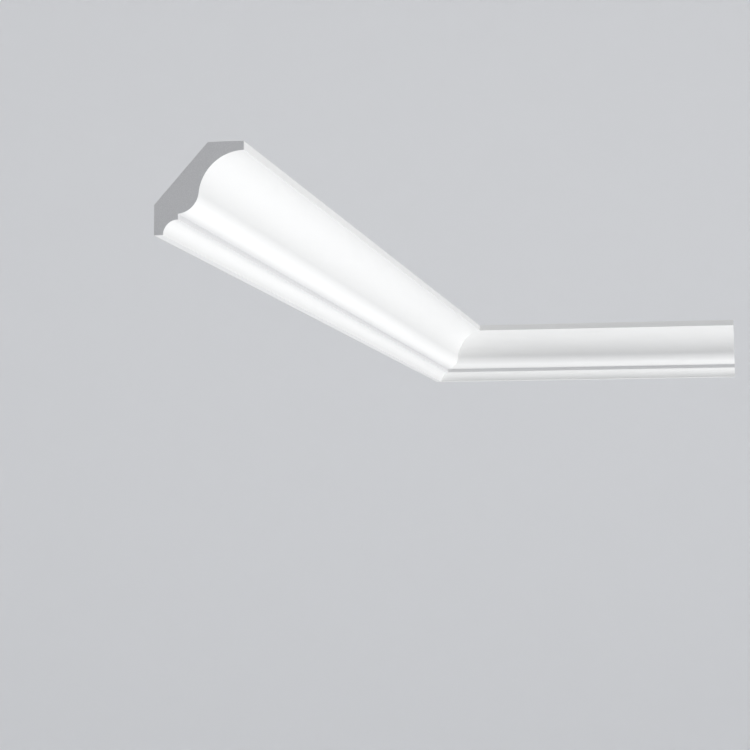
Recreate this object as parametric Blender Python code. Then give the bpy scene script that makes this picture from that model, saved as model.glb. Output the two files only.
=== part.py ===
"""Cornice moulding: two lengths of one profile, mitred where two walls meet the ceiling.

The long one runs along the side wall, the short one along the back wall. Metres, +Z up.
+Y runs along the side wall, away from the viewer, and +X along the back wall, to the right.
The origin is the centre of the side-wall length's face against its wall.
A point of the profile is given by out, its distance from the wall, and down, its distance
below the ceiling.
"""

import math

import bmesh
import bpy
from mathutils import Matrix, Vector

# Profile as a whole
HEIGHT = 0.103
PROJECTION = 0.1025

# Flat faces that are glued to the building, with the sloping back between them
CEILING_SEAT = 0.0413
WALL_SEAT = 0.0343

# Members of the face, from the ceiling down
TOP_FILLET = 0.0104
COVE_RADIUS = 0.0516
OVOLO_RADIUS = 0.0255
STEP_HEIGHT = 0.0065
LOWER_COVE_RADIUS = 0.017
FOOT_WIDTH = 0.0105

# Lengths, measured on the wall from the square end to the inside corner
SIDE_LENGTH = 2.0
BACK_LENGTH = 0.6

# Gap left open across the mitre for the glue line
MITRE_GAP = 0.0003

# Longest facet on a round member
FACET = 0.0015

# Faces that meet at more than this are shaded with a sharp edge between them
SHARP_ANGLE = math.radians(20)

PRIMER_COLOUR = (0.86, 0.86, 0.85, 1.0)
PRIMER_ROUGHNESS = 0.48


def clear_scene():
    for old in list(bpy.data.objects):
        bpy.data.objects.remove(old, do_unlink=True)


def circle_crossing(first, first_radius, second, second_radius):
    """The crossing of two circles that lies nearer the ceiling."""
    across = second - first
    distance = across.length
    along = (first_radius**2 - second_radius**2 + distance**2) / (2 * distance)
    aside = math.sqrt(first_radius**2 - along**2)
    middle = first + across * (along / distance)
    normal = Vector((across.y, -across.x)) / distance
    return min(middle + normal * aside, middle - normal * aside, key=lambda point: point.y)


def arc(centre, start, end):
    """Points on the shorter arc about centre, from start to end, both ends included."""
    radius = (start - centre).length
    sweep = (start - centre).angle_signed(end - centre)
    count = max(2, math.ceil(abs(sweep) * radius / FACET))
    points = []
    for index in range(count + 1):
        turn = Matrix.Rotation(-sweep * index / count, 2)
        points.append(centre + turn @ (start - centre))
    return points


def profile():
    """The closed outline as (out, down) points, from the ceiling's front edge round by the foot."""
    cove_start = Vector((PROJECTION, TOP_FILLET))
    cove_centre = cove_start + Vector((0, COVE_RADIUS))

    step_out = FOOT_WIDTH + LOWER_COVE_RADIUS
    step_foot = Vector((step_out, HEIGHT - LOWER_COVE_RADIUS))
    step_top = step_foot - Vector((0, STEP_HEIGHT))

    # The ovolo touches the cove and comes down onto the step
    ovolo_centre = circle_crossing(
        step_top, OVOLO_RADIUS, cove_centre, COVE_RADIUS + OVOLO_RADIUS
    )
    to_ovolo = (ovolo_centre - cove_centre).normalized()
    meeting = cove_centre + to_ovolo * COVE_RADIUS

    lower_cove_centre = Vector((step_out, HEIGHT))
    foot_front = Vector((FOOT_WIDTH, HEIGHT))

    face = [Vector((PROJECTION, 0))]
    face += arc(cove_centre, cove_start, meeting)
    face += arc(ovolo_centre, meeting, step_top)[1:]
    face += arc(lower_cove_centre, step_foot, foot_front)
    back = [
        Vector((0, HEIGHT)),
        Vector((0, HEIGHT - WALL_SEAT)),
        Vector((PROJECTION - CEILING_SEAT, 0)),
    ]
    return face + back


def length_mesh(name, start, end):
    """A run of the profile along +Y with the wall at X = 0 and the ceiling at Z = 0.

    start and end give the Y at which each end is cut, for a distance out from the wall.
    """
    bm = bmesh.new()
    outline = [bm.verts.new((point.x, start(point.x), -point.y)) for point in profile()]
    near_end = bm.faces.new(outline)
    pulled = bmesh.ops.extrude_face_region(bm, geom=[near_end])
    for item in pulled["geom"]:
        if isinstance(item, bmesh.types.BMVert):
            item.co.y = end(item.co.x)
    bmesh.ops.recalc_face_normals(bm, faces=bm.faces)
    mesh = bpy.data.meshes.new(name)
    bm.to_mesh(mesh)
    bm.free()
    mesh.shade_smooth()
    mesh.set_sharp_from_angle(angle=SHARP_ANGLE)
    return mesh


def material(name, colour, roughness):
    made = bpy.data.materials.new(name)
    made.use_nodes = True
    shader = made.node_tree.nodes["Principled BSDF"]
    shader.inputs["Base Color"].default_value = colour
    shader.inputs["Roughness"].default_value = roughness
    shader.inputs["Metallic"].default_value = 0.0
    return made


def add_length(name, mesh, place, turn, parent):
    mesh.materials.append(material(name + "_primer", PRIMER_COLOUR, PRIMER_ROUGHNESS))
    piece = bpy.data.objects.new(name, mesh)
    bpy.context.scene.collection.objects.link(piece)
    piece.location = place
    piece.rotation_euler.z = turn
    piece.parent = parent


def build():
    clear_scene()
    cornice = bpy.data.objects.new("cornice", None)
    bpy.context.scene.collection.objects.link(cornice)

    # Half the gap, taken along the wall at 45 degrees to the mitre
    clear_of_mitre = MITRE_GAP / 2 * math.sqrt(2)
    ceiling = HEIGHT - WALL_SEAT / 2

    side = length_mesh(
        "side_wall_length",
        start=lambda out: 0,
        end=lambda out: SIDE_LENGTH - out - clear_of_mitre,
    )
    back = length_mesh(
        "back_wall_length",
        start=lambda out: out + clear_of_mitre,
        end=lambda out: BACK_LENGTH,
    )
    near_end = Vector((0, -SIDE_LENGTH / 2, ceiling))
    corner = Vector((0, SIDE_LENGTH / 2, ceiling))
    add_length("side_wall_length", side, near_end, 0, cornice)
    add_length("back_wall_length", back, corner, -math.pi / 2, cornice)


build()
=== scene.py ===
# %% [markdown]
# # A cornice that turns an inside corner
#
# A cornice runs round the top of a room and hides the joint there. This one is rigid foamed
# polymer, extruded in long lengths, primed white at the factory, sawn to fit and glued up. Two
# lengths show here. The long one runs away from the viewer and the short one to the right, and
# they meet in a mitre at the corner.
#
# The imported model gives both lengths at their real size. This file dresses them. It draws the
# profile again with finer rounds and softened arrises, runs it out, saws the ends, and gives
# every face the finish that the real one has there.

import math

import bmesh
import bpy
from mathutils import Matrix, Vector


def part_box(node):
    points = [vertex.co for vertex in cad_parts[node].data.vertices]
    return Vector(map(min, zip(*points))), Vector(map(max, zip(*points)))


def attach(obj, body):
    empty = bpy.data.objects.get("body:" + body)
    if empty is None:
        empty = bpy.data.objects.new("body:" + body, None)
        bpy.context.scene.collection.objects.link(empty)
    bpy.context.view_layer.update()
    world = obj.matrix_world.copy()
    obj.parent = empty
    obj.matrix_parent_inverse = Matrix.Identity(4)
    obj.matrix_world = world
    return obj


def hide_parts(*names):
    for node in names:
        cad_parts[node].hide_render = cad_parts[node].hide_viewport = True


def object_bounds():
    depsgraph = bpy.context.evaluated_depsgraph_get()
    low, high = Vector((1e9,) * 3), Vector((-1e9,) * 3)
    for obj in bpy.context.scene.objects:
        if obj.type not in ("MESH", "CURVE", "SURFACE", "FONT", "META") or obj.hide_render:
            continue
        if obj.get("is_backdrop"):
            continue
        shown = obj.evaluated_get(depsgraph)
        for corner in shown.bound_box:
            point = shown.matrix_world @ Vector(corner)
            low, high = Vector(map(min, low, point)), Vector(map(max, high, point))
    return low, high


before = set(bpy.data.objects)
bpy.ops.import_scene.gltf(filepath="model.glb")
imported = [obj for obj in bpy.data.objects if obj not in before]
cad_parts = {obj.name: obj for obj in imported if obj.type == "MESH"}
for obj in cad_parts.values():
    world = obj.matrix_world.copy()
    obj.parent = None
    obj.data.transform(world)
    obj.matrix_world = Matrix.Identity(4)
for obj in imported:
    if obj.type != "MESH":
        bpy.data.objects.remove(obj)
cad_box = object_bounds()

MM = 0.001
side_low, side_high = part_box("side_wall_length")
back_low, back_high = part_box("back_wall_length")
print("side length", [round(size / MM, 1) for size in side_high - side_low], "mm")
print("back length", [round(size / MM, 1) for size in back_high - back_low], "mm")

# %% [markdown]
# ## The camera
#
# The photograph was taken from below the cornice and from the right of its long length, with
# a long lens. The camera's place was worked out from the straight lines of the moulding, so
# the model's edges fall on the edges in the picture. It comes first, because a camera that is
# only guessed makes good proportions look wrong.

# %% the camera
CAMERA_PLACE = Vector((0.6736, -3.2316, -0.3744))
CAMERA_TURN_LEFT = math.radians(10.743)
CAMERA_TILT_UP = math.radians(4.962)
CAMERA_ROLL = math.radians(-0.045)
SENSOR_MM = 36.0
LENS_MM = 101.0

camera_data = bpy.data.cameras.new("camera")
camera_data.sensor_width = SENSOR_MM
camera_data.lens = LENS_MM
camera = bpy.data.objects.new("camera", camera_data)
aimed = (
    Matrix.Rotation(CAMERA_TURN_LEFT, 4, "Z")
    @ Matrix.Rotation(math.pi / 2 + CAMERA_TILT_UP, 4, "X")
    @ Matrix.Rotation(CAMERA_ROLL, 4, "Z")
)
camera.matrix_world = Matrix.Translation(CAMERA_PLACE) @ aimed
bpy.context.scene.collection.objects.link(camera)
bpy.context.scene.camera = camera
print("camera at", [round(value, 3) for value in CAMERA_PLACE], "with a lens of", LENS_MM, "mm")

# %% [markdown]
# ## The profile, drawn member by member
#
# A moulding is described by its profile, the line that a saw shows when it cuts straight
# across. Its parts are called members. From the top down they are a flat fillet, a deep cove,
# an ovolo, a small step and a second, smaller cove that dies into the foot. Behind them are
# two flat seats for the glue, one upright and one level, and the slope between the two.
#
# The line could be typed as a list of points. It is drawn with two moves instead, as on a
# drawing board: a straight one, which extrudes the last point, and a round one, which spins
# it about a centre. The numbers are then those a maker would measure: widths and radii.

# %% sizes of the profile
TOP = side_high.z
HEIGHT = side_high.z - side_low.z
PROJECTION = side_high.x - side_low.x
UPRIGHT_SEAT = 34.3 * MM
LEVEL_SEAT = 41.3 * MM
TOP_FILLET = 10.4 * MM
COVE_RADIUS = 51.6 * MM
OVOLO_RADIUS = 25.5 * MM
STEP_HEIGHT = 6.5 * MM
LOWER_COVE_RADIUS = 17.0 * MM
FOOT_WIDTH = 10.5 * MM
print("profile", round(HEIGHT / MM, 1), "mm high and", round(PROJECTION / MM, 1), "mm out")

# %% two drawing moves
ROUND_STEP = 0.9 * MM


def at(out, down):
    """A point of the profile, out from the upright seat and down from the level one."""
    return Vector((out, 0, TOP - down))


def draw_to(bm, tip, end):
    """A straight member: the last point is extruded and carried to the end."""
    made = bmesh.ops.extrude_vert_indiv(bm, verts=[tip])["verts"][0]
    made.co = end
    return made


def draw_round(bm, tip, centre, end, step=ROUND_STEP):
    """A round member: the last point is spun about a centre until it reaches the end."""
    first = tip.co - centre
    last = end - centre
    angle = first.angle(last)
    steps = math.ceil(angle * first.length / step)
    spun = bmesh.ops.spin(
        bm, geom=[tip], cent=centre, axis=first.cross(last), angle=angle, steps=steps,
    )
    print("round of", round(first.length / MM, 1), "mm through", round(math.degrees(angle)))
    return next(item for item in spun["geom_last"] if isinstance(item, bmesh.types.BMVert))


# %% [markdown]
# ## The point that can't be measured
#
# Only one point of the profile can't be found with a ruler: the centre of the ovolo. The ovolo
# runs smoothly out of the cove and ends on the corner of the step, so its centre lies one
# radius from the corner and both radii from the centre of the cove. The script works it out
# from that. When a radius or the step changes, the two rounds still meet without a kink.

# %% where the ovolo sits
def ovolo_centre(cove_centre, step_top):
    """The ovolo touches the cove and ends on the step, and that fixes its centre."""
    apart = cove_centre - step_top
    reach = COVE_RADIUS + OVOLO_RADIUS
    along = (OVOLO_RADIUS**2 - reach**2 + apart.length_squared) / (2 * apart.length)
    aside = math.sqrt(OVOLO_RADIUS**2 - along**2)
    upward = Vector((0, 1, 0)).cross(apart).normalized()
    if upward.z < 0:
        upward.negate()
    return step_top + apart.normalized() * along + upward * aside


STEP_OUT = FOOT_WIDTH + LOWER_COVE_RADIUS
STEP_TOP = at(STEP_OUT, HEIGHT - LOWER_COVE_RADIUS - STEP_HEIGHT)
COVE_CENTRE = at(PROJECTION, TOP_FILLET + COVE_RADIUS)
OVOLO_CENTRE = ovolo_centre(COVE_CENTRE, STEP_TOP)
OVOLO_TOP = COVE_CENTRE + (OVOLO_CENTRE - COVE_CENTRE).normalized() * COVE_RADIUS
print("the ovolo starts", round((TOP - OVOLO_TOP.z) / MM, 1), "mm down")


# %% draw the outline
def draw_outline():
    """The closed outline of the profile as one face, standing in the plane Y = 0."""
    bm = bmesh.new()
    start = bm.verts.new(at(PROJECTION, 0))
    tip = draw_to(bm, start, at(PROJECTION, TOP_FILLET))
    tip = draw_round(bm, tip, COVE_CENTRE, OVOLO_TOP)
    tip = draw_round(bm, tip, OVOLO_CENTRE, STEP_TOP)
    tip = draw_to(bm, tip, at(STEP_OUT, HEIGHT - LOWER_COVE_RADIUS))
    tip = draw_round(bm, tip, at(STEP_OUT, HEIGHT), at(FOOT_WIDTH, HEIGHT))
    tip = draw_to(bm, tip, at(0, HEIGHT))
    tip = draw_to(bm, tip, at(0, HEIGHT - UPRIGHT_SEAT))
    tip = draw_to(bm, tip, at(PROJECTION - LEVEL_SEAT, 0))
    bm.edges.new((tip, start))
    bmesh.ops.contextual_create(bm, geom=bm.edges[:])
    return bm


# %% [markdown]
# ## Softened arrises
#
# Where two members meet at an outer corner there is an arris. A die never leaves one razor
# sharp, and primer rounds it a little more, so it catches a thin line of light. The finished
# length could be bevelled, but its sawn ends would then need mending. The corners of the flat
# outline are rounded instead, before it is run out, and every arris follows from them.
#
# The one inner corner, under the ovolo, stays sharp. Its shadow is the crispest line on the
# moulding, and even half a millimetre of rounding would fill it with light.

# %% soften the corners of the outline
ARRIS = 0.45 * MM
ARRIS_SEGMENTS = 4
LEAST_CORNER = math.radians(25)


def turn_at(point):
    """How far the outline turns at a point: positive at an outer corner, negative at an inner."""
    before = point.link_loops[0].link_loop_prev.vert.co
    after = point.link_loops[0].link_loop_next.vert.co
    arriving = point.co - before
    leaving = after - point.co
    outwards = arriving.cross(leaving).dot(point.link_faces[0].normal)
    return math.copysign(arriving.angle(leaving), outwards)


def soften_corners(bm):
    """Rounds each outer corner of the outline that is sharper than the steps of its rounds."""
    bmesh.ops.recalc_face_normals(bm, faces=bm.faces)
    corners = [point for point in bm.verts if turn_at(point) > LEAST_CORNER]
    bmesh.ops.bevel(
        bm, geom=corners, offset=ARRIS, offset_type="OFFSET", segments=ARRIS_SEGMENTS,
        profile=0.5, affect="VERTICES", clamp_overlap=True, material=-1,
    )
    area = sum(face.calc_area() for face in bm.faces)
    print("softened", len(corners), "corners; the outline has", len(bm.verts), "points")
    print("the cut shows", round(area / MM**2), "square mm of foam")


# %% [markdown]
# ## Run out, then sawn
#
# The real profile leaves the die as one endless run and a saw makes everything else: square
# cuts at the outer ends and a cut at 45 degrees for the mitre. The mesh is made in that order
# too. The outline is extruded over-long, and a plane cuts it where the blade would. Moving
# the end points into a slope would give the same shape, but a saw cut also closes the end
# with a new face, which is just the face that shows bare foam.

# %% the extruder and the saw
SPARE = 50 * MM
FACE, HIDDEN, SAWN = 0, 1, 2
LEAST_HIDDEN = 0.2


def run_out(bm, start, end):
    """Extrudes the outline along +Y, over-long at both ends, and marks the sides that hide.

    The near end stays open, because the saw takes it off and closes its own cut.
    """
    bmesh.ops.translate(bm, verts=bm.verts, vec=(0, start - SPARE, 0))
    far_end = bmesh.ops.extrude_discrete_faces(bm, faces=bm.faces[:])["faces"][0]
    bmesh.ops.translate(bm, verts=far_end.verts[:], vec=(0, end - start + 2 * SPARE, 0))
    bmesh.ops.recalc_face_normals(bm, faces=bm.faces)
    for face in bm.faces:
        hides = face.normal.x < -LEAST_HIDDEN or face.normal.z > LEAST_HIDDEN
        face.material_index = HIDDEN if hides else FACE


def saw(bm, place, waste):
    """Cuts along a plane, drops what lies towards the waste and closes the cut."""
    geometry = bm.verts[:] + bm.edges[:] + bm.faces[:]
    cut = bmesh.ops.bisect_plane(
        bm, geom=geometry, plane_co=place, plane_no=waste, clear_outer=True
    )["geom_cut"]
    rim = [item for item in cut if isinstance(item, bmesh.types.BMEdge)]
    for face in bmesh.ops.edgeloop_fill(bm, edges=rim, mat_nr=SAWN)["faces"]:
        face.normal_update()
        if face.normal.dot(waste) < 0:
            face.normal_flip()
    return rim


# %% [markdown]
# ## The sawn edge is eased
#
# A square end stays in sight, so a fitter wipes its edge with fine paper. It loses its burr
# and a hair of primer, and the grey foam shows in a line as thin as a pencil's. The mitre
# isn't eased: its two edges have to meet, and the softer they are the wider the joint looks.

# %% ease an edge
EASED = 0.15 * MM
EASED_SEGMENTS = 2


def ease(bm, rim):
    """Bevels the rim of a cut. The strip that the paper bares is foam, as the cut is."""
    bared = bmesh.ops.bevel(
        bm, geom=rim, offset=EASED, offset_type="OFFSET", segments=EASED_SEGMENTS,
        profile=0.5, affect="EDGES", clamp_overlap=True, material=-1,
    )["faces"]
    for face in bared:
        face.material_index = SAWN


# %% start and finish a length
LITRES_PER_CUBIC_METRE = 1000


def start_length(start, end):
    """The over-long run that a length is sawn from."""
    bm = draw_outline()
    soften_corners(bm)
    run_out(bm, start, end)
    return bm


def finish_length(bm, name):
    """Makes the mesh an object, and prints whether it is closed and how much foam it takes."""
    open_edges = sum(not edge.is_manifold for edge in bm.edges)
    litres = bm.calc_volume() * LITRES_PER_CUBIC_METRE
    print(name, len(bm.faces), "faces,", open_edges, "open edges,", round(litres, 2), "litres")
    mesh = bpy.data.meshes.new(name)
    bm.to_mesh(mesh)
    bm.free()
    piece = bpy.data.objects.new(name, mesh)
    bpy.context.scene.collection.objects.link(piece)
    return piece


# %% [markdown]
# ## Two lengths and their mitre
#
# Both lengths are run out along +Y, with the upright seat at X = 0. The long one is made where
# it hangs. The short one is made in the same way, with its mitre at the start, and then turned
# a quarter and carried to the corner, as it would be by hand. A hair's breadth stays open
# between the two mitre faces for the glue, so they never lie in one plane and flicker.

# %% the two lengths
CORNER = Vector((side_low.x, back_high.y, 0))
BACK_REACH = back_high.x - CORNER.x
JOINT = 0.04 * MM
OUT_AND_ONWARDS = Vector((1, 1, 0)).normalized()
OUT_AND_BACK = Vector((1, -1, 0)).normalized()

side = start_length(side_low.y, CORNER.y)
square_end = saw(side, Vector((0, side_low.y, 0)), Vector((0, -1, 0)))
saw(side, CORNER - Vector((0, JOINT, 0)), OUT_AND_ONWARDS)
ease(side, square_end)
side_length = finish_length(side, "side_length")

back = start_length(0, BACK_REACH)
square_end = saw(back, Vector((0, BACK_REACH, 0)), Vector((0, 1, 0)))
saw(back, Vector((0, JOINT, 0)), OUT_AND_BACK)
ease(back, square_end)
quarter_turn = Matrix.Rotation(-math.pi / 2, 3, "Z")
bmesh.ops.rotate(back, verts=back.verts, cent=(0, 0, 0), matrix=quarter_turn)
bmesh.ops.translate(back, verts=back.verts, vec=CORNER)
back_length = finish_length(back, "back_length")

# %% [markdown]
# ## Shading that stays flat where the moulding is flat
#
# Smooth shading blends the normals of neighbouring faces. Without help, the wide flat fillet
# would take some of the tilt of the tiny rounded arris beside it and look swollen. A weighted
# normal leans on the larger face, so flats stay flat and only the arris turns.

# %% weight the normals
SHARP_ANGLE = math.radians(40)
LARGER_FACE_WINS = 100
for length in (side_length, back_length):
    length.data.set_sharp_from_angle(angle=SHARP_ANGLE)
    sharp = sum(edge.use_edge_sharp for edge in length.data.edges)
    print(length.name, "keeps", sharp, "sharp edges of", len(length.data.edges))
    weighted = length.modifiers.new("weighted normals", "WEIGHTED_NORMAL")
    weighted.keep_sharp = True
    weighted.weight = LARGER_FACE_WINS

# %% [markdown]
# ## Colours and nodes
#
# Colours are chosen as they look on a screen, but a shader works with light, so one function
# turns a screen colour into linear numbers. Another adds a node, sets it and links it, so a
# material reads as a list of what it is made of.

# %% two helpers for materials
def linear(screen):
    """Linear colour from six hex digits as a screen shows it."""
    parts = [int(screen[k : k + 2], 16) / 255 for k in (0, 2, 4)]
    bent = [p / 12.92 if p <= 0.04045 else ((p + 0.055) / 1.055) ** 2.4 for p in parts]
    return (*bent, 1.0)


def add(material, kind, settings=None, **inputs):
    """Adds a node. An input is a value, or the output of another node to link it to.

    It goes by its name, or by its identifier where a node has several of one name.
    """
    node = material.node_tree.nodes.new(kind)
    for name, value in (settings or {}).items():
        setattr(node, name, value)
    for name, value in inputs.items():
        socket = next(s for s in node.inputs if name in (s.identifier, s.name.replace(" ", "_")))
        if isinstance(value, bpy.types.NodeSocket):
            material.node_tree.links.new(value, socket)
        else:
            socket.default_value = value
    return node


def new_material(name):
    made = bpy.data.materials.new(name)
    made.use_nodes = True
    made.node_tree.nodes.clear()
    return made


# %% [markdown]
# ## Factory primer
#
# The face wears a coat of white acrylic primer, sprayed and dried in the factory. It is
# satin-matt: broad soft highlights and no mirror image. Two things keep it from looking like
# paper. The spray dries with a faint orange peel, and the die leaves lines along the length
# that the primer doesn't quite fill. Both are a matter of microns, so they are bump.
#
# Both patterns are noise in object coordinates. The die lines are the same noise squeezed
# across the length and stretched along it, so each length needs its own direction.
#
# The white itself is a little below that of a finishing paint. With a whiter one the members
# light each other up, the coves fill with their own bounce, and the profile goes flat. Acrylic
# has an IOR of about 1.48, and a satin-matt coat a roughness of 0.5 to 0.6.

# %% patterns that follow the length
def along_length(material, across, along, turned):
    """Object coordinates scaled to one pattern repeat, with Y or X running along the length."""
    place = add(material, "ShaderNodeTexCoord")
    scale = (1 / along, 1 / across, 1 / across) if turned else (1 / across, 1 / along, 1 / across)
    return add(
        material, "ShaderNodeMapping", Vector=place.outputs["Object"], Scale=scale
    ).outputs["Vector"]


# %% [markdown]
# ## Painted highlight on the ovolo, painted shade under it
#
# The primer's own colour is even, and the differences here are painted light. The crown of the
# ovolo is painted whiter, a painted highlight. The inner corner under it is painted greyer, a
# painted shade that deepens the shadow line that the corner already has.
#
# The shade could be painted on the mesh. Two gradients do it without: each is 1 on a line
# along the length and 0 at the end of its reach.

# %% a gradient round a line
def round_line(material, line, reach, turned):
    """1 on a line along the length, falling to 0 at the end of the reach."""
    place = add(material, "ShaderNodeTexCoord")
    middle = CORNER + Vector((0, -line.x, line.z)) if turned else line
    scale = Vector((0, 1, 1) if turned else (1, 0, 1)) / reach
    beside = add(
        material, "ShaderNodeMapping", Vector=place.outputs["Object"], Scale=scale,
        Location=-middle * scale,
    )
    return add(
        material, "ShaderNodeTexGradient", {"gradient_type": "SPHERICAL"},
        Vector=beside.outputs["Vector"],
    ).outputs["Fac"]


# %% painted shade and painted highlight on the primer
PAINTED_HIGHLIGHT_REACH = 18 * MM
PAINTED_SHADE_REACH = 10 * MM
# The grey of the painted shade, the primer's own white, and the white of the painted highlight.
PAINTED_SHADE_GREY = "D3D3D4"
USUAL_WHITE = "E4E4E3"
PAINTED_HIGHLIGHT_WHITE = "EEEEED"
towards_crown = (OVOLO_TOP + STEP_TOP) / 2 - OVOLO_CENTRE
OVOLO_CROWN = OVOLO_CENTRE + towards_crown.normalized() * OVOLO_RADIUS
# The crown of the ovolo carries the painted highlight, and the top of the step the painted shade.
print("the coat is fullest", round((TOP - OVOLO_CROWN.z) / MM, 1), "mm down")
print("and thinnest", round((TOP - STEP_TOP.z) / MM, 1), "mm down")


def coat_and_painted_light(material, turned):
    """Colour of the primer, with a painted shade in the inner corner under the ovolo and a painted
    highlight on its crown.
    """
    painted_highlight = round_line(material, OVOLO_CROWN, PAINTED_HIGHLIGHT_REACH, turned)
    painted_shade = round_line(material, STEP_TOP, PAINTED_SHADE_REACH, turned)
    more = add(material, "ShaderNodeMath", {"operation": "SUBTRACT"}, Value=painted_highlight, Value_001=painted_shade)
    spread = add(material, "ShaderNodeMapRange", Value=more.outputs["Value"], From_Min=-1.0)
    tone = add(material, "ShaderNodeValToRGB", Fac=spread.outputs["Result"])
    tone.color_ramp.elements[0].color = linear(PAINTED_SHADE_GREY)
    tone.color_ramp.elements[1].color = linear(PAINTED_HIGHLIGHT_WHITE)
    tone.color_ramp.elements.new(0.5).color = linear(USUAL_WHITE)
    return tone.outputs["Color"]


# %% factory primer
PEEL_WIDTH = 2.4 * MM
PEEL_DEPTH = 0.006 * MM
LINE_WIDTH = 1.3 * MM
LINE_LENGTH = 400 * MM
LINE_DEPTH = 0.004 * MM


def factory_primer(name, turned):
    primer = new_material(name)
    place = add(primer, "ShaderNodeTexCoord").outputs["Object"]
    lines = along_length(primer, LINE_WIDTH, LINE_LENGTH, turned)
    peel = add(primer, "ShaderNodeTexNoise", Vector=place, Scale=1 / PEEL_WIDTH, Detail=2.0)
    die = add(primer, "ShaderNodeTexNoise", Vector=lines, Scale=1.0, Detail=1.0)
    peel_bump = add(
        primer, "ShaderNodeBump", Height=peel.outputs["Fac"], Strength=1.0, Distance=PEEL_DEPTH
    )
    die_bump = add(
        primer, "ShaderNodeBump", Height=die.outputs["Fac"], Strength=1.0, Distance=LINE_DEPTH,
        Normal=peel_bump.outputs["Normal"],
    )
    sheen = add(primer, "ShaderNodeMapRange", Value=peel.outputs["Fac"], To_Min=0.52, To_Max=0.6)
    shader = add(
        primer, "ShaderNodeBsdfPrincipled", Base_Color=coat_and_painted_light(primer, turned),
        Roughness=sheen.outputs["Result"], IOR=1.48, Normal=die_bump.outputs["Normal"],
    )
    add(primer, "ShaderNodeOutputMaterial", Surface=shader.outputs["BSDF"])
    return primer


# %% [markdown]
# ## Sawn foam
#
# A saw cut opens the foam. Its cells are a few tenths of a millimetre across, far too fine to
# show from here, and together they trap light, so the cut is greyer than the primer beside
# it. The cells are drawn about three times their size, so that the cut still reads as foam.
#
# Real dents would take millions of faces. One Voronoi pattern drives colour and bump alike
# instead: each cell is deeper in its middle than at its edge, and its middle is painted darker, a
# painted shade in the pit. An open cell has no gloss left, so the roughness is high, while the IOR
# of 1.5 is the polymer's own.
#
# The blade leaves its own marks as well, fine steps that cross the cut in the direction of
# the stroke. They are noise squeezed in one direction, as the die lines are.

# %% sawn foam
CELL = 1.1 * MM
CELL_DEPTH = 0.05 * MM
# The darker cell middle is painted shade in the pit; the cell edge is the foam's own grey.
CELL_PIT_SHADE = "CECECF"
CELL_EDGE = "DADADB"
STROKE_WIDTH = 1.6 * MM
STROKE_LENGTH = 60 * MM
STROKE_DEPTH = 0.05 * MM
STROKE_TILT = math.radians(12)


def sawn_foam():
    foam = new_material("sawn foam")
    place = add(foam, "ShaderNodeTexCoord").outputs["Object"]
    cells = add(foam, "ShaderNodeTexVoronoi", Vector=place, Scale=1 / CELL)
    tone = add(foam, "ShaderNodeValToRGB", Fac=cells.outputs["Distance"])
    tone.color_ramp.elements[0].color = linear(CELL_PIT_SHADE)
    tone.color_ramp.elements[1].color = linear(CELL_EDGE)
    stroke = add(
        foam, "ShaderNodeMapping", Vector=place, Rotation=(STROKE_TILT, STROKE_TILT, 0),
        Scale=(1 / STROKE_LENGTH, 1 / STROKE_LENGTH, 1 / STROKE_WIDTH),
    )
    marks = add(foam, "ShaderNodeTexNoise", Vector=stroke.outputs["Vector"], Scale=1.0, Detail=1.0)
    cell_bump = add(
        foam, "ShaderNodeBump", Height=cells.outputs["Distance"], Strength=1.0, Distance=CELL_DEPTH
    )
    bump = add(
        foam, "ShaderNodeBump", Height=marks.outputs["Fac"], Strength=1.0, Distance=STROKE_DEPTH,
        Normal=cell_bump.outputs["Normal"],
    )
    shader = add(
        foam, "ShaderNodeBsdfPrincipled", Base_Color=tone.outputs["Color"], Roughness=0.9,
        IOR=1.5, Normal=bump.outputs["Normal"],
    )
    add(foam, "ShaderNodeOutputMaterial", Surface=shader.outputs["BSDF"])
    return foam


# %% [markdown]
# ## Bare skin at the back
#
# The two seats and the slope between them never show once the cornice is up, so they get no
# primer. They keep the closed skin that the foam forms against the die: matt, a little
# creamier than the primer, with long drag lines. The lines are the primer's noise again, only
# wider and deeper, because no coat fills them.

# %% bare foam skin
DRAG_WIDTH = 3.5 * MM
DRAG_LENGTH = 300 * MM
DRAG_DEPTH = 0.03 * MM
SKIN_IN_DRAG = "E2E0DA"
SKIN_BETWEEN = "EDEBE6"


def foam_skin(name, turned):
    skin = new_material(name)
    drag_place = along_length(skin, DRAG_WIDTH, DRAG_LENGTH, turned)
    drag = add(skin, "ShaderNodeTexNoise", Vector=drag_place, Scale=1.0, Detail=3.0)
    tone = add(skin, "ShaderNodeValToRGB", Fac=drag.outputs["Fac"])
    tone.color_ramp.elements[0].color = linear(SKIN_IN_DRAG)
    tone.color_ramp.elements[1].color = linear(SKIN_BETWEEN)
    bump = add(
        skin, "ShaderNodeBump", Height=drag.outputs["Fac"], Strength=1.0, Distance=DRAG_DEPTH
    )
    shader = add(
        skin, "ShaderNodeBsdfPrincipled", Base_Color=tone.outputs["Color"], Roughness=0.7,
        IOR=1.5, Normal=bump.outputs["Normal"],
    )
    add(skin, "ShaderNodeOutputMaterial", Surface=shader.outputs["BSDF"])
    return skin


# %% [markdown]
# ## Dressed and handed over
#
# The faces were marked while the mesh was made, so each finish only has to land in the slot of
# its number: the face first, then the hidden sides, then the cuts. A cut looks the same in any
# direction, so both lengths share one foam.
#
# Nothing on a cornice moves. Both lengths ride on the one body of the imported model, and each
# takes the place of the plain length that was packed for it.

# %% dress the lengths
foam = sawn_foam()
for length, turned in ((side_length, False), (back_length, True)):
    length.data.materials.append(factory_primer(length.name + " factory primer", turned))
    length.data.materials.append(foam_skin(length.name + " foam skin", turned))
    length.data.materials.append(foam)
    print(length.name, "wears", [finish.name for finish in length.data.materials])

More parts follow.
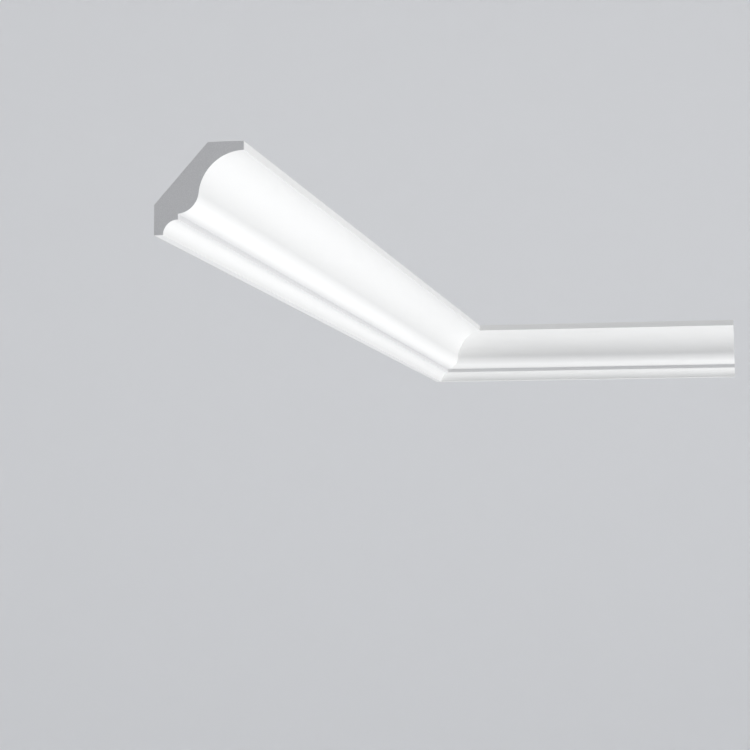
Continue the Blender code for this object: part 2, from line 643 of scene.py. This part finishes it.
# %% hand the lengths to the frame
for length, node in ((side_length, "side_wall_length"), (back_length, "back_wall_length")):
    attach(length, "root")
    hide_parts(node)
    print(length.name, "takes the place of", node)

# %% [markdown]
# ## The studio
#
# The cornice hangs in a plain round studio: a pale floor that curves up into a wall all the
# way round, so that no edge shows from any side. It could be two planes, but they would meet
# in a line. It is one line instead, drawn with the two moves of the profile and spun all the
# way round. People look up at a cornice, so the floor lies far down, and a camera well below
# the moulding still stands above it.

# %% floor and wall in one sweep
FLOOR = -6.5
FLOOR_RADIUS = 9.0
SWEEP_RADIUS = 3.0
SWEEP_STEP = 0.3
WALL_TOP = 11.0
STUDIO_STEPS = 96
SEAM = 1 * MM
middle = (cad_box[0] + cad_box[1]) / 2

studio = bmesh.new()
tip = studio.verts.new((middle.x, middle.y, FLOOR))
tip = draw_to(studio, tip, Vector((middle.x + FLOOR_RADIUS, middle.y, FLOOR)))
sweep_centre = tip.co + Vector((0, 0, SWEEP_RADIUS))
sweep_end = sweep_centre + Vector((SWEEP_RADIUS, 0, 0))
tip = draw_round(studio, tip, sweep_centre, sweep_end, SWEEP_STEP)
tip = draw_to(studio, tip, Vector((tip.co.x, tip.co.y, WALL_TOP)))
bmesh.ops.spin(
    studio, geom=studio.edges[:], cent=middle, axis=(0, 0, 1), angle=2 * math.pi,
    steps=STUDIO_STEPS, use_merge=True,
)
bmesh.ops.remove_doubles(studio, verts=studio.verts, dist=SEAM)
for face in studio.faces:
    face.smooth = True
studio_mesh = bpy.data.meshes.new("studio")
studio.to_mesh(studio_mesh)
studio.free()
studio_shell = bpy.data.objects.new("studio", studio_mesh)
bpy.context.scene.collection.objects.link(studio_shell)
studio_shell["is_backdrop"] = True
print("studio floor at", FLOOR, "m, wall", FLOOR_RADIUS + SWEEP_RADIUS, "m away")

# %% paint the studio
STUDIO_GREY = "DDDEE0"
paint = new_material("studio paint")
matt = add(paint, "ShaderNodeBsdfPrincipled", Base_Color=linear(STUDIO_GREY), Roughness=0.9)
add(paint, "ShaderNodeOutputMaterial", Surface=matt.outputs["BSDF"])
studio_mesh.materials.append(paint)
print("studio painted", STUDIO_GREY)

# %% [markdown]
# ## The light
#
# A white moulding is read by its shadows alone, so the light has to differ from side to side.
# Lamps close by would do that, but they also make one end brighter than the other. Large
# panels far away light the whole length alike, and each member gets its own shade from the
# way it faces.
#
# The strongest panel stands low on the right. It fills the coves and leaves the flat faces and
# the square cut greyer. One straight below lifts what looks down. A weak one near by lets the
# light fade a little towards the corner. The last is for the backdrop alone, and a white sky
# fills in the rest. Light adds up, so each was rendered alone and the powers were found by
# comparing sums.

# %% soft lights
def soft_light(name, place, target, size, power):
    """A large soft panel that faces its target and doesn't show itself."""
    data = bpy.data.lights.new(name, "AREA")
    data.shape = "RECTANGLE"
    data.size, data.size_y = size
    data.energy = power
    aim = Vector(target) - Vector(place)
    lamp = bpy.data.objects.new(name, data)
    lamp.location = place
    lamp.rotation_mode = "QUATERNION"
    lamp.rotation_quaternion = aim.to_track_quat("-Z", "Y")
    lamp.visible_camera = False
    bpy.context.scene.collection.objects.link(lamp)
    print(name, "of", power, "W,", round(aim.length, 1), "m from what it lights")


soft_light("low light from the right", (6.5, 0.5, -5.0), (0.1, 0, 0), (2.4, 2.4), 348)
soft_light("light from below", (1.2, 0.2, -6.3), (0.4, 0.2, 0), (2.4, 2.4), 63)
soft_light("near light", (2.6, -2.2, -2.6), (0.1, 0, 0), (1.6, 1.6), 34)
soft_light("light on the backdrop", (0.3, 4.0, 1.6), (0.3, 12.0, 0.3), (6.0, 1.5), 92)

# %% the white sky
SKY_STRENGTH = 0.98
world = bpy.data.worlds.new("studio sky")
world.use_nodes = True
sky = world.node_tree.nodes["Background"]
sky.inputs["Color"].default_value = linear("FFFFFF")
sky.inputs["Strength"].default_value = SKY_STRENGTH
bpy.context.scene.world = world
print("white sky at", SKY_STRENGTH)

# %% [markdown]
# ## From light to screen
#
# Blender's usual view transform, AgX, holds the brightest tones well below white so that they
# never clip, and white goods come out light grey. The Standard transform passes the light on
# as it is. That suits a scene with no lamp in view, where the brightest member should stop
# just short of full white.

# %% the view transform
bpy.context.scene.view_settings.view_transform = "Standard"
print("view transform", bpy.context.scene.view_settings.view_transform)

# %% [markdown]
# ## As big as before
#
# Dressing a part must not change its size, because others fit against it. The box round the
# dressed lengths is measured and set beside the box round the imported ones.

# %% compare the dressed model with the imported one
dressed_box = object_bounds()
furthest = max((made - given).length for made, given in zip(dressed_box, cad_box))
print("the corners of the box moved by", round(furthest / MM, 3), "mm at most")
